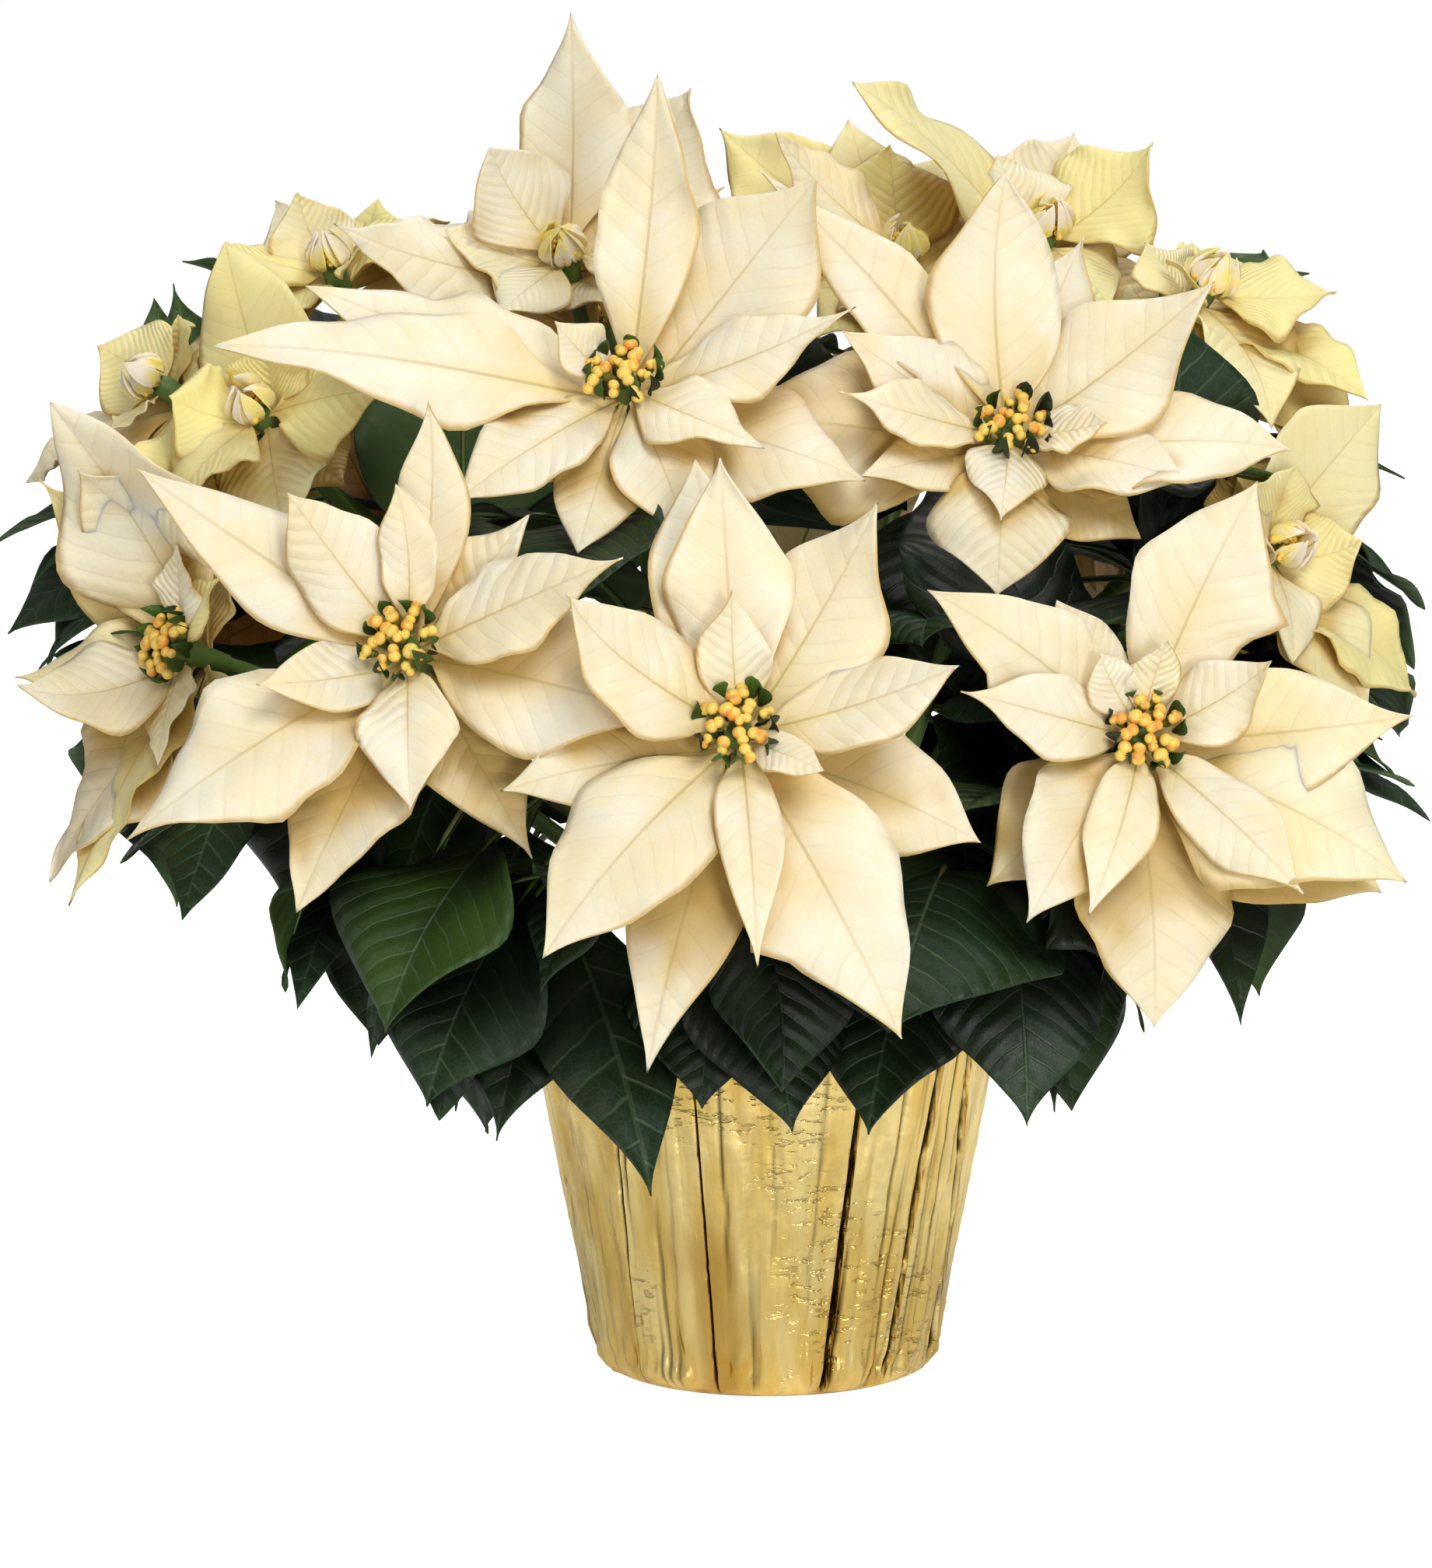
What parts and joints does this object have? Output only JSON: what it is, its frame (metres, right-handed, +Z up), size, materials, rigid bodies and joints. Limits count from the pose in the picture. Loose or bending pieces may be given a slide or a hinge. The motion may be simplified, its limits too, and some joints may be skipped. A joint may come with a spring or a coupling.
{
  "type": "potted poinsettia",
  "caption": "Cream poinsettia in full bloom in a nursery pot, wrapped in pleated gold foil, with broad dark green leaves.",
  "frame": {"origin": "centre of the foil wrap's flat foot, on the surface that it stands on", "axes": "+Z up, -Y towards the side that the picture shows, +X to that side's right"},
  "size_m": [0.5324, 0.4347, 0.5018],
  "materials": {
    "gold_foil": "crinkled metallic foil",
    "pot_plastic": "matt",
    "potting_mix": "loose peat and bark",
    "leaf": "satin leaf",
    "bract": "soft matt petal",
    "flower": "waxy buds"
  },
  "bodies": {
    "root": {"foil_wrap": "gold_foil", "nursery_pot": "pot_plastic", "potting_mix": "potting_mix", "plant_left": "leaf", "plant_right": "leaf", "plant_back": "leaf", "bloom_front": "bract", "bloom_front_left": "bract", "bloom_front_right": "bract", "bloom_upper_left": "bract", "bloom_upper_right": "bract", "bloom_far_left": "bract", "bloom_left_mid": "bract", "bloom_left_high": "bract", "bloom_left_crown": "bract", "bloom_crown_left": "bract", "bloom_crown_mid": "bract", "bloom_crown_right": "bract", "bloom_right_high": "bract", "bloom_right_low": "bract", "bloom_back_left": "bract", "bloom_back_mid": "bract", "bloom_back_right": "bract", "bloom_back_crown_left": "bract", "bloom_back_crown_right": "bract", "flowers_front": "flower", "flowers_front_left": "flower", "flowers_front_right": "flower", "flowers_upper_left": "flower", "flowers_upper_right": "flower", "flowers_far_left": "flower", "flowers_left_mid": "flower", "flowers_left_high": "flower", "flowers_left_crown": "flower", "flowers_crown_left": "flower", "flowers_crown_mid": "flower", "flowers_crown_right": "flower", "flowers_right_high": "flower", "flowers_right_low": "flower", "flowers_back_left": "flower", "flowers_back_mid": "flower", "flowers_back_right": "flower", "flowers_back_crown_left": "flower", "flowers_back_crown_right": "flower"}
  },
  "joints": []
}
